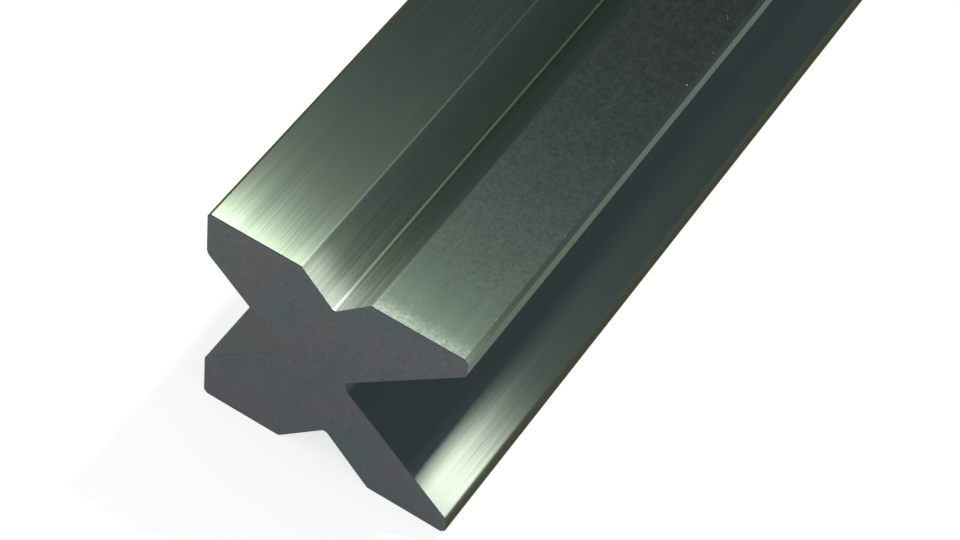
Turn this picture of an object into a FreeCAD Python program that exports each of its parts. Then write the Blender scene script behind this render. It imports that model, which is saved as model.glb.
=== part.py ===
# Four-way press brake V die: one ground steel block with a V groove of another opening in each
# long side, so that turning the block gives four bending openings. Lengths are in mm, angles in
# degrees. The die lies along Y on its bottom side, and the origin is the middle of that side.
import FreeCAD, Part
import math
import os

import Sketcher

SIZES = {
    # The block. Both sides of the section are standard seats for the die holder.
    "block_width": 60,
    "block_height": 60,
    "die_length": 415,
    "corner_chamfer": 0.9,
    "end_edge_break": 0.15,
    # A groove's opening is measured at the face, between the flanks carried on to sharp corners.
    "top_opening": 16,
    "top_angle": 88,
    "top_root_radius": 0.8,
    "top_shoulder_radius": 0.8,
    "bottom_opening": 22,
    "bottom_angle": 88,
    "bottom_root_radius": 1,
    "bottom_shoulder_radius": 1,
    "left_opening": 35,
    "left_angle": 85,
    "left_root_radius": 1.5,
    "left_shoulder_radius": 2.5,
    "right_opening": 50,
    "right_angle": 85,
    "right_root_radius": 2.5,
    "right_shoulder_radius": 2,
}

# Each side's turn in the section, and where the middle of its face lies.
SIDES = {
    "top": (0, "0", "Sizes.block_height"),
    "left": (90, "-Sizes.block_width / 2", "Sizes.block_height / 2"),
    "bottom": (180, "0", "0"),
    "right": (270, "Sizes.block_width / 2", "Sizes.block_height / 2"),
}

# How a sketch numbers its own axes, and the points of a line.
X_AXIS, Y_AXIS = range(-1, -3, -1)
WHOLE_LINE, START, END = range(3)


def fill_sheet(doc):
    """The sheet of driving sizes, one row for each, with its name beside it."""
    sheet = doc.addObject("Spreadsheet::Sheet", "Sizes")
    for row, (name, value) in enumerate(SIZES.items(), start=1):
        sheet.set(f"A{row}", name)
        sheet.set(f"B{row}", str(value))
        sheet.setAlias(f"B{row}", name)
    doc.recompute()
    return sheet


def section_sketch(body, name):
    """An empty sketch on the body's XZ plane: its x runs along X and its y along Z."""
    planes = [plane for plane in body.Origin.OriginFeatures if plane.Role == "XZ_Plane"]
    sketch = body.newObject("Sketcher::SketchObject", name)
    sketch.AttachmentSupport = (planes[0], [""])
    sketch.MapMode = "FlatFace"
    return sketch


def draw_outline(sketch, corners):
    """Closed outline of straight lines through the corners, each line joined to the next."""
    count = len(corners)
    for index in range(count):
        line = Part.LineSegment(corners[index], corners[(index + 1) % count])
        sketch.addGeometry(line)
    for index in range(count):
        following = (index + 1) % count
        sketch.addConstraint(Sketcher.Constraint("Coincident", index, END, following, START))


def bind(sketch, name, constraint, size):
    """Adds a dimension to the sketch, and drives it from the sheet."""
    index = sketch.addConstraint(constraint)
    sketch.renameConstraint(index, name)
    sketch.setExpression(f"Constraints.{name}", f"Sizes.{size}")


def symmetric_about_height(sketch, left_line, left_end, right_line, right_end):
    """Keeps two points of a sketch level, and as far to one side of its y axis as to the other."""
    points = (left_line, left_end, right_line, right_end)
    sketch.addConstraint(Sketcher.Constraint("Symmetric", *points, Y_AXIS))


def build_block(body, sheet):
    """The planed bar: its section stands on the X axis and is drawn out both ways along Y."""
    width, height = sheet.block_width, sheet.block_height
    sketch = section_sketch(body, "block_section")
    corners = [
        FreeCAD.Vector(-width / 2, 0, 0),
        FreeCAD.Vector(width / 2, 0, 0),
        FreeCAD.Vector(width / 2, height, 0),
        FreeCAD.Vector(-width / 2, height, 0),
    ]
    draw_outline(sketch, corners)
    base, right_side, top, left_side = range(4)
    symmetric_about_height(sketch, base, START, base, END)
    sketch.addConstraint(Sketcher.Constraint("PointOnObject", base, START, X_AXIS))
    sketch.addConstraint(Sketcher.Constraint("Horizontal", top))
    sketch.addConstraint(Sketcher.Constraint("Vertical", left_side))
    sketch.addConstraint(Sketcher.Constraint("Vertical", right_side))
    run = Sketcher.Constraint("DistanceX", base, START, base, END, width)
    bind(sketch, "width", run, "block_width")
    rise = Sketcher.Constraint("DistanceY", right_side, START, right_side, END, height)
    bind(sketch, "height", rise, "block_height")

    pad = body.newObject("PartDesign::Pad", "block")
    pad.Profile = sketch
    pad.SideType = "Symmetric"
    pad.setExpression("Length", "Sizes.die_length")
    body.Document.recompute()
    return pad


def runs_through(edge, point):
    """True for an edge along Y through the point of the section."""
    axis = Part.Line(point, point + FreeCAD.Vector(0, 1, 0)).toShape()
    touch = FreeCAD.Base.Precision.approximation()
    return all(axis.distToShape(vertex)[0] < touch for vertex in edge.Vertexes)


def long_edges(feature, points):
    """Names of the feature's edges that run along Y through the points of the section."""
    names = []
    for point in points:
        for index, edge in enumerate(feature.Shape.Edges, start=1):
            if runs_through(edge, point):
                names.append(f"Edge{index}")
    if len(names) != len(points):
        raise RuntimeError(f"{feature.Name} has {len(names)} of {len(points)} long edges")
    return names


def dress_edges(body, kind, name, feature, elements, setting, size):
    """A fillet or a chamfer on elements of the feature, driven by one size of the sheet."""
    dressed = body.newObject(f"PartDesign::{kind}", name)
    dressed.Base = (feature, elements)
    dressed.setExpression(setting, f"Sizes.{size}")
    body.Document.recompute()
    return dressed


def break_corners(body, sheet, block):
    """Chamfers along the four outer corners of the section."""
    half, height = sheet.block_width / 2, sheet.block_height
    corners = [FreeCAD.Vector(x, 0, z) for x in (-half, half) for z in (0, height)]
    edges = long_edges(block, corners)
    return dress_edges(body, "Chamfer", "corner_chamfers", block, edges, "Size", "corner_chamfer")


def groove_sketch(body, sheet, side):
    """The groove's V, drawn as on the top side and turned to its own: y points out of the face."""
    turn, across, up = SIDES[side]
    opening, angle = sheet.get(f"{side}_opening"), math.radians(sheet.get(f"{side}_angle"))
    shoulder_left = FreeCAD.Vector(-opening / 2, 0, 0)
    shoulder_right = FreeCAD.Vector(opening / 2, 0, 0)
    root = FreeCAD.Vector(0, -opening / 2 / math.tan(angle / 2), 0)

    sketch = section_sketch(body, f"{side}_v")
    sketch.AttachmentOffset.Rotation = FreeCAD.Rotation(FreeCAD.Vector(0, 0, 1), turn)
    sketch.setExpression("AttachmentOffset.Base.x", across)
    sketch.setExpression("AttachmentOffset.Base.y", up)
    draw_outline(sketch, [shoulder_left, root, shoulder_right])
    left_flank, right_flank, mouth = range(3)
    symmetric_about_height(sketch, mouth, END, mouth, START)
    sketch.addConstraint(Sketcher.Constraint("PointOnObject", mouth, START, X_AXIS))
    sketch.addConstraint(Sketcher.Constraint("PointOnObject", left_flank, END, Y_AXIS))
    width = Sketcher.Constraint("DistanceX", mouth, END, mouth, START, opening)
    bind(sketch, "opening", width, f"{side}_opening")
    between = Sketcher.Constraint("Angle", right_flank, START, left_flank, END, angle)
    bind(sketch, "angle", between, f"{side}_angle")
    body.Document.recompute()
    return sketch, (shoulder_left, shoulder_right), root


def grind_groove(body, sheet, side, block):
    """One groove along the whole die, then the radius in its root and those of its shoulders."""
    sketch, shoulders, root = groove_sketch(body, sheet, side)
    cut = body.newObject("PartDesign::Pocket", f"{side}_groove")
    cut.Profile = sketch
    cut.Type = "ThroughAll"
    cut.SideType = "Symmetric"
    body.Document.recompute()
    removed = block.Shape.Volume - cut.Shape.Volume
    expected = shoulders[1].x * -root.y * sheet.die_length
    if not math.isclose(removed, expected, rel_tol=FreeCAD.Base.Precision.approximation()):
        raise RuntimeError(f"{side}_groove removes {removed:.0f} of {expected:.0f} cubic mm")

    in_block = sketch.Placement.multVec
    radius_of = f"{side}_root_radius"
    edges = long_edges(cut, [in_block(root)])
    rounded = dress_edges(body, "Fillet", f"{side}_root", cut, edges, "Radius", radius_of)
    radius_of = f"{side}_shoulder_radius"
    edges = long_edges(rounded, [in_block(point) for point in shoulders])
    return dress_edges(body, "Fillet", f"{side}_shoulders", rounded, edges, "Radius", radius_of)


def break_end_edges(body, block):
    """A light chamfer round the whole outline of both sawn and milled end faces."""
    faces = list(enumerate(block.Shape.Faces, start=1))
    faces.sort(key=lambda numbered: numbered[1].CenterOfMass.y)
    ends = [f"Face{index}" for index, _ in (faces[0], faces[-1])]
    return dress_edges(body, "Chamfer", "end_edges", block, ends, "Size", "end_edge_break")


def check(doc):
    """Stops before anything is written if a feature, a sketch or a solid has failed."""
    for item in doc.Objects:
        if "Invalid" in item.State or "Error" in item.State:
            raise RuntimeError(f"{item.Name} failed: {item.State}")
        if item.TypeId == "Sketcher::SketchObject" and not item.FullyConstrained:
            raise RuntimeError(f"{item.Name} is not fully constrained")
        if item.TypeId == "PartDesign::Body":
            if item.Shape.isNull() or not item.Shape.isValid() or len(item.Shape.Solids) != 1:
                raise RuntimeError(f"{item.Label} is not one sound solid")


def main():
    doc = FreeCAD.newDocument("v_die")
    sheet = fill_sheet(doc)
    body = doc.addObject("PartDesign::Body", "die_block")
    body.Label = "die_block"
    body.Placement = FreeCAD.Placement()

    block = build_block(body, sheet)
    block = break_corners(body, sheet, block)
    for side in SIDES:
        block = grind_groove(body, sheet, side, block)
    body.Tip = break_end_edges(body, block)
    doc.recompute()

    check(doc)
    os.makedirs("parts", exist_ok=True)
    body.Shape.exportStep(f"parts/{body.Label}.step")
    box = body.Shape.BoundBox
    section = body.Shape.Volume / sheet.die_length
    print(f"{body.Label}: {box.XLength:.3f} x {box.YLength:.3f} x {box.ZLength:.3f} mm")
    print(f"section {section:.1f} square mm, {len(body.Shape.Faces)} faces")


main()
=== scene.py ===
import math

import bpy
from mathutils import Matrix, Quaternion, Vector


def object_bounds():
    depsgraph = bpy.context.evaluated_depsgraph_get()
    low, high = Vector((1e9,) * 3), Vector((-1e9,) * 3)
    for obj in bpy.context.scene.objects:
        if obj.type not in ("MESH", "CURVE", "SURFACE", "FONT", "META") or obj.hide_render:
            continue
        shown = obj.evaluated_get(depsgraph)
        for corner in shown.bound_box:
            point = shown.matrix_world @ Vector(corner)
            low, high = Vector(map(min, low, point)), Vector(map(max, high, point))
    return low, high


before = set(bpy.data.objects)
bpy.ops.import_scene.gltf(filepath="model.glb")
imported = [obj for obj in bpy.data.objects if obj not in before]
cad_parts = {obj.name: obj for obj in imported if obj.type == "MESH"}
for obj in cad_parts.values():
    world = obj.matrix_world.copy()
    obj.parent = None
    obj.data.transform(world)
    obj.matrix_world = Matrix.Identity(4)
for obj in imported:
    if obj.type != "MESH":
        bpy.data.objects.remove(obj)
cad_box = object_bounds()


# The die is one bar of hardened tool steel. Its long sides and the flanks of its four grooves are
# ground along the bar, which leaves fine lines that way and draws every highlight out across them.
# Both ends are sawn and face-milled, so they are matt, greyer and marked by the cutter's sweep.
class Field:
    """A socket of a material's nodes, with the sums that masks and patterns are made of."""

    def __init__(self, tree, socket=None):
        self.tree = tree
        self.socket = socket

    def node(self, kind, inputs=(), output=0, **settings):
        """A new node: its settings first, then the values or links of its sockets."""
        made = self.tree.nodes.new(kind)
        for name, value in settings.items():
            setattr(made, name, value)
        for name, value in dict(inputs).items():
            if isinstance(value, Field):
                self.tree.links.new(value.socket, made.inputs[name])
            else:
                made.inputs[name].default_value = value
        return Field(self.tree, made.outputs[output] if made.outputs else None)

    def maths(self, operation, *values):
        return self.node("ShaderNodeMath", enumerate(values), operation=operation)

    def vector(self, operation, *values, output=0):
        return self.node("ShaderNodeVectorMath", enumerate(values), output, operation=operation)

    def __add__(self, other):
        return self.maths("ADD", self, other)

    __radd__ = __add__

    def __sub__(self, other):
        return self.maths("SUBTRACT", self, other)

    def __rsub__(self, other):
        return self.maths("SUBTRACT", other, self)

    def __mul__(self, other):
        return self.maths("MULTIPLY", self, other)

    __rmul__ = __mul__

    def __abs__(self):
        return self.maths("ABSOLUTE", self)

    def output(self, name):
        """Another output of the same node."""
        return Field(self.tree, self.socket.node.outputs[name])

    def part(self, axis):
        """One axis of a vector."""
        return self.node("ShaderNodeSeparateXYZ", {0: self}, output=axis)

    def either(self, other):
        """The larger of two masks."""
        return self.maths("MAXIMUM", self, other)

    def step(self, low, high):
        """0 under low, 1 over high, smooth between; low over high turns it round."""
        if low > high:
            return 1 - self.step(high, low)
        inputs = {"Value": self, "From Min": low, "From Max": high}
        return self.node("ShaderNodeMapRange", inputs, interpolation_type="SMOOTHSTEP")

    def within(self, middle, half, soft):
        """1 up to half away from middle, and 0 past a soft edge."""
        return abs(self - middle).step(half + soft, half)

    def blend(self, first, second):
        """The first colour where this mask is 0, and the second where it is 1."""
        colours = {0: self, 6: first, 7: second}
        return self.node("ShaderNodeMix", colours, output=2, data_type="RGBA")


def noise(place, size, detail=2):
    """Noise about 0, in cells of the given size in mm: one size, or one for each axis."""
    across, along, up = size if isinstance(size, tuple) else (size, size, size)
    cells = place.vector("MULTIPLY", place, (1 / across, 1 / along, 1 / up))
    return place.node("ShaderNodeTexNoise", {"Vector": cells, "Scale": 1, "Detail": detail}) - 0.5


def lines(place, width, length, detail=2):
    """Noise drawn out along the bar, as a grinding wheel leaves it."""
    return noise(place, (width, length, width), detail)


def nicks(place, cell, length, width, share):
    """Short straight scratches on faces seen from above: at most one a cell, each its own way."""
    flat = place.vector("MULTIPLY", place, (1 / cell, 1 / cell, 0))
    middle = flat.node("ShaderNodeTexVoronoi", {"Vector": flat, "Scale": 1}, "Position")
    offset = flat.vector("SUBTRACT", flat, middle)
    chance = middle.output("Color")
    turn = chance.part("X") * math.tau
    sine, cosine = turn.maths("SINE", turn), turn.maths("COSINE", turn)
    x, y = offset.part("X"), offset.part("Y")
    run = (x * cosine + y * sine).within(0, length / 2 / cell, length / 3 / cell)
    side = (y * cosine - x * sine).within(0, width / 3 / cell, width / 2 / cell)
    return run * side * chance.part("Y").step(share, 0)


def ground_faces(start, place, normal):
    """Ground steel: a glossy fan square to the lines, dulled by a thin film of oil and dust."""
    # Sizes in mm: half the block's width between its corner chamfers, half its length, half its
    # height, and half the opening of the narrow groove, which is the one in the top.
    half_width, half_length, mid_height, half_opening = 29.1, 207.5, 30, 8
    across, up = place.part("X"), place.part("Z")
    from_end = half_length - abs(place.part("Y"))
    top_face = normal.part("Z").step(0.95, 0.99)
    side_land = abs(normal.part("X")).step(0.9, 0.99)
    lapped_land = top_face * across.step(half_opening + 0.2, half_opening + 0.8)
    narrow_groove = across.within(0, half_opening - 0.4, 0.8) * up.step(51, 51.6)
    narrow_root = across.within(0, 0.5, 0.3) * up.within(52.6, 0.7, 0.2)
    wide_flank = up.step(mid_height + 1, mid_height - 1) * across.step(18.5, 21)
    wide_flank = wide_flank * normal.part("Z").within(0.73, 0.08, 0.1)

    # The lower land of the right side is dark and matt. Along the left edges the same dark is
    # painted shade, standing in for the dark reflection on the left chamfers.
    low_edge = up.step(8, 6) * normal.part("X").step(0.72, 0.85)
    left_edge = across.step(0.3 - half_width, -half_width) * normal.part("X").within(-0.7, 0.1, 0.1)
    dark_matt_edges = low_edge.either(left_edge)

    # Three places near both ends get a brighter gloss and less film, as painted highlight where the
    # lamp's highlight falls: the outer half of the widest groove's lower flank, the inside of the
    # narrow groove, and the tips of the lapped land.
    painted_highlight = wide_flank * from_end.step(42.5, 9.5)
    painted_highlight = painted_highlight + narrow_groove * across.within(-2, 4, 4) * from_end.step(10.5, 0.5)
    painted_highlight = painted_highlight + lapped_land * from_end.step(4.5, 0.5) * 0.5

    # The wheel's lines lean the surface a little to and fro along the bar. The land to the right
    # of the narrow groove was lapped last, so it is mottled instead.
    fine_lines = lines(place, 0.2, 30, 3)
    broad_lines = lines(place, 1.6, 140, 1)
    mottle = noise(place, 0.7, 3)
    lean = (fine_lines + broad_lines * 0.3) * 0.007
    lean = lean * (1 - lapped_land * 0.6) + lapped_land * (mottle * 0.012 + 0.0022)
    lean = lean - narrow_groove * 0.0015
    sideways = normal.vector("CROSS_PRODUCT", (0, 1, 0), normal)
    leaning = normal.vector("MULTIPLY_ADD", sideways, fine_lines * 0.1, normal)
    leaning = normal.vector("MULTIPLY_ADD", (0, 1, 0), lean, leaning)
    leaning = normal.vector("NORMALIZE", leaning)

    # Two fans of gloss lie over each other, a narrow one and a wide, softer one. Where the
    # highlight is painted, the narrow fan is brighter.
    lying = {"Normal": leaning}
    narrow = {"Color": (0.097, 0.125, 0.132, 1), "Roughness": 0.282, "Anisotropy": 0.8717}
    bright = {"Color": (0.145, 0.174, 0.206, 1), "Roughness": 0.3, "Anisotropy": 0.84}
    wide = {"Color": (0.085, 0.128, 0.145, 1), "Roughness": 0.355, "Anisotropy": 0.635}
    narrow_fan = start.node("ShaderNodeBsdfAnisotropic", narrow | lying)
    bright_fan = start.node("ShaderNodeBsdfAnisotropic", bright | lying)
    wide_fan = start.node("ShaderNodeBsdfAnisotropic", wide | lying)
    sharp_fan = start.node("ShaderNodeMixShader", {0: painted_highlight, 1: narrow_fan, 2: bright_fan})
    wide_share = lapped_land * (mottle * 0.5 + 0.07) + narrow_groove * 0.07 + 0.25
    fans = start.node("ShaderNodeMixShader", {0: wide_share, 1: sharp_fan, 2: wide_fan})

    # The film is grey-green, in thinner and thicker patches. It is bluer and gritty on the lapped
    # land, and greener on the narrow groove's left flank and the widest groove's lower flank. It
    # is bluish grey on the narrow groove's right flank and plain grey on the left side lands. The
    # olive on the right side lands is a painted reflection.
    patches = (noise(place, (7, 24, 7)) + fine_lines + mottle) * 1.1 + 0.5
    film_and_painted_light = patches.step(0, 1).blend((0.060, 0.084, 0.080, 1), (0.130, 0.158, 0.146, 1))
    grit = (mottle + noise(place, 2.5)) * 1.6 + 0.5
    gritty = grit.step(0, 1).blend((0.032, 0.030, 0.048, 1), (0.110, 0.112, 0.142, 1))
    film_and_painted_light = lapped_land.blend(film_and_painted_light, gritty)
    left_flank = narrow_groove * across.step(2, -1)
    film_and_painted_light = (left_flank * 0.8).blend(film_and_painted_light, (0.086, 0.140, 0.126, 1))
    right_flank = narrow_groove * across.step(-1, 2)
    film_and_painted_light = (right_flank * 0.8).blend(film_and_painted_light, (0.112, 0.122, 0.136, 1))
    film_and_painted_light = side_land.blend(film_and_painted_light, (0.084, 0.094, 0.088, 1))
    # Painted reflection: the right side lands are olive.
    film_and_painted_light = (side_land * across.step(0, 1)).blend(film_and_painted_light, (0.064, 0.098, 0.050, 1))
    film_and_painted_light = wide_flank.blend(film_and_painted_light, (0.062, 0.150, 0.110, 1))
    # The narrow groove's root is painted darker: painted shade in the crease.
    film_and_painted_light = narrow_root.blend(film_and_painted_light, (0.064, 0.080, 0.070, 1))

    # Pale nicks lie on the lapped land. Short pale stretches along its outer edges are partly worn
    # edge and partly painted highlight, where the edges catch the light.
    nicks_and_edge_glints = nicks(place, cell=6, length=1.2, width=0.12, share=0.4) * across.step(4, 34)
    rim = across.within(half_width - 0.3, 0.12, 0.2) + from_end.within(0.3, 0.1, 0.15)
    rim = rim * noise(place, 1.2).step(0.14, 0.2) * lapped_land * 1.8
    nicks_and_edge_glints = nicks_and_edge_glints.either(rim) * top_face
    film_and_painted_light = nicks_and_edge_glints.blend(film_and_painted_light, (0.50, 0.55, 0.52, 1))
    film_and_painted_light_look = {"Base Color": film_and_painted_light, "Metallic": 1.0, "Roughness": 0.5}
    filmed_and_painted = start.node("ShaderNodeBsdfPrincipled", film_and_painted_light_look | lying)

    # The film covers part of the gloss, in streaks that follow the wheel's lines.
    cover = lapped_land * 0.04 + side_land * 0.6 + narrow_groove * (broad_lines * 0.5 + 0.3) + 0.1
    # Less film covers the places of painted highlight, which makes them brighter still.
    cover = cover - (narrow_groove * 0.2 + 0.1) * painted_highlight + (fine_lines + broad_lines * 0.4) * 0.5
    # More film dulls the narrow groove's root, painted shade in the crease.
    cover = (cover + narrow_root * 0.15).either(nicks_and_edge_glints * 0.35)
    wiped = start.node("ShaderNodeMixShader", {0: cover, 1: fans, 2: filmed_and_painted})
    # A dark matt layer for these edges; on the left chamfers it is painted shade.
    dark_matt_look = {"Base Color": (0.080, 0.092, 0.066, 1), "Roughness": 1.0, "Specular IOR Level": 0.0}
    dark_matt = start.node("ShaderNodeBsdfPrincipled", dark_matt_look)
    return start.node("ShaderNodeMixShader", {0: dark_matt_edges * 0.9, 1: wiped, 2: dark_matt})


def milled_faces(start, place):
    """Milled steel: matt grey, clouded and pitted, with the cutter's faint arcs."""
    clouds = noise(place, 13) * 1.8 + 0.5
    grey = clouds.step(0.2, 0.8).blend((0.101, 0.099, 0.109, 1), (0.080, 0.102, 0.108, 1))
    # The cutter swept round a point below the die and to its left, so its marks are rings.
    cutter_middle = (-70, 0, -45)
    section = place.vector("MULTIPLY", place, (1, 0, 1))
    radius = place.vector("DISTANCE", section, cutter_middle, output="Value")
    rings = {"W": radius, "Scale": 2.2, "Detail": 3}
    arcs = place.node("ShaderNodeTexNoise", rings, noise_dimensions="1D") - 0.5
    speckle = noise(place, 0.9, 4) * 1.8
    tone = speckle + arcs * 0.6
    grey = (tone.step(0.05, 0.6) * 0.6).blend(grey, (0.062, 0.065, 0.070, 1))
    grey = (tone.step(-0.05, -0.6) * 0.6).blend(grey, (0.150, 0.153, 0.157, 1))
    # It is a little darker and bluer lower down, which is painted shade, and darkest in its pits.
    grey = (place.part("Z").step(62, 25) * 0.2).blend(grey, (0.060, 0.068, 0.078, 1))
    pits = noise(place, 1.1, 1).step(0.27, 0.31)
    grey = (pits * 0.7).blend(grey, (0.030, 0.032, 0.036, 1))
    relief = {"Height": arcs + speckle, "Strength": 1.0, "Distance": 0.00002}
    bump = start.node("ShaderNodeBump", relief)
    look = {"Base Color": grey, "Metallic": 1.0, "Roughness": 0.55, "Normal": bump}
    return start.node("ShaderNodeBsdfPrincipled", look)


def new_material(name):
    """An empty node tree, and the field that its nodes are made from."""
    material = bpy.data.materials.new(name)
    material.use_nodes = True
    material.node_tree.nodes.clear()
    return material, Field(material.node_tree)


def ground_steel():
    """The die's one material: ground along its length, and milled at the ends and on the left."""
    material, start = new_material("ground_steel")
    metres = start.node("ShaderNodeTexCoord", output="Object")
    place = metres.vector("MULTIPLY", metres, (1000, 1000, 1000))
    normal = start.node("ShaderNodeNewGeometry", output="Normal")
    end_face = abs(normal.part("Y")).step(0.8, 0.9)
    # The groove on the left is only milled, apart from a light pass of the wheel. It lies at
    # half the block's height, and its milled part stops just inside its shoulders.
    mid_height, half_opening = 30, 17.5
    left_groove = place.part("X").step(-2, -2.6)
    left_groove = left_groove * place.part("Z").within(mid_height, half_opening - 0.7, 0.8)
    left_groove = left_groove * abs(normal.part("X")).step(0.95, 0.85)
    milled_share = end_face.either(left_groove * 0.95)
    ground = ground_faces(start, place, normal)
    milled = milled_faces(start, place)
    whole = start.node("ShaderNodeMixShader", {0: milled_share, 1: ground, 2: milled})
    start.node("ShaderNodeOutputMaterial", {"Surface": whole})
    return material


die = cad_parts["die_block"]
die.data.materials[0] = ground_steel()
# The gloss is drawn out square to the lines. Its direction comes from the texture space, so that
# lies far to one side, where the circles round its middle run straight along the die.
die.data.use_auto_texspace = False
die.data.texspace_location = (-100, 0, 0)
die.data.texspace_size = (1, 1, 1)


# The floor is a plain white sheet, 40 m square and a tenth of a millimetre under the die. It gives
# the camera and every reflection a little light of its own, so that it stays white round the pale
# shadow.
low_corner = cad_box[0]
reach = 20
corners = [(-reach, -reach, 0), (reach, -reach, 0), (reach, reach, 0), (-reach, reach, 0)]
sheet = bpy.data.meshes.new("floor")
sheet.from_pydata(corners, [], [(0, 1, 2, 3)])
floor = bpy.data.objects.new("floor", sheet)
just_under = 0.0001
floor.location.z = low_corner.z - just_under
bpy.context.scene.collection.objects.link(floor)
paint, start = new_material("floor")
seen = start.node("ShaderNodeLightPath", output="Is Camera Ray")
for kind in ("Is Glossy Ray", "Is Transmission Ray"):
    seen = seen.either(start.node("ShaderNodeLightPath", output=kind))
matt = start.node("ShaderNodeBsdfDiffuse", {"Color": (0.45, 0.45, 0.45, 1)})
glow = start.node("ShaderNodeEmission", {"Color": (1, 1, 1, 1), "Strength": seen * 0.74})
both = start.node("ShaderNodeAddShader", {0: matt, 1: glow})
start.node("ShaderNodeOutputMaterial", {"Surface": both})
sheet.materials.append(paint)

# The room is an even grey light from all round, with a darker part high up behind the die.
world = bpy.data.worlds.new("room")
bpy.context.scene.world = world
world.use_nodes = True
world.node_tree.nodes.clear()
start = Field(world.node_tree)
way = start.node("ShaderNodeTexCoord", output="Generated")
dark = way.part("Z").step(0.05, 0.3) * way.part("Y").step(0.1, 0.4)
wall = dark.blend((0.7, 0.7, 0.7, 1), (0.2, 0.2, 0.2, 1))
sky = start.node("ShaderNodeBackground", {"Color": wall, "Strength": 1})
start.node("ShaderNodeOutputWorld", {"Surface": sky})

# One long narrow lamp stands high up behind the die, square to its length. Its image in the ground
# faces is the bright fan at the near end. Its power follows from its distance and from the watts
# that a square metre facing it at the die should get.
toward = Vector((0.6, 1.997, 3.436))
light_on_die = 1.5
lamp = bpy.data.lights.new("key", "AREA")
lamp.shape = "RECTANGLE"
lamp.size = 0.3
lamp.size_y = 0.025
lamp.energy = light_on_die * math.pi * toward.length**2
lamp.color = (1, 0.945, 0.64)
key = bpy.data.objects.new("key", lamp)
key.location = low_corner + toward
beam = toward.normalized()
side = Vector((0, 1, 0)).cross(beam).normalized()
key.rotation_mode = "QUATERNION"
key.rotation_quaternion = Matrix((side, beam.cross(side), beam)).transposed().to_quaternion()
key.visible_camera = False
bpy.context.scene.collection.objects.link(key)

# The camera looks down along the die from above its near end, a little rolled.
aim = Vector((0.00984, low_corner.y + 0.04039, 0.030))
distance = 0.60606
azimuth, elevation, roll = math.radians(26.186), math.radians(52.325), math.radians(8.032)
level = math.cos(elevation)
back = Vector((math.sin(azimuth) * level, -math.cos(azimuth) * level, math.sin(elevation)))
camera = bpy.data.objects.new("camera", bpy.data.cameras.new("camera"))
camera.data.lens = 111.17
camera.data.sensor_width = 36
camera.data.clip_start = 0.01
camera.data.clip_end = 50
camera.location = aim + distance * back
camera.rotation_mode = "QUATERNION"
camera.rotation_quaternion = (-back).to_track_quat("-Z", "Y") @ Quaternion((0, 0, 1), roll)
bpy.context.scene.collection.objects.link(camera)
bpy.context.scene.camera = camera
bpy.context.scene.view_settings.view_transform = "Standard"
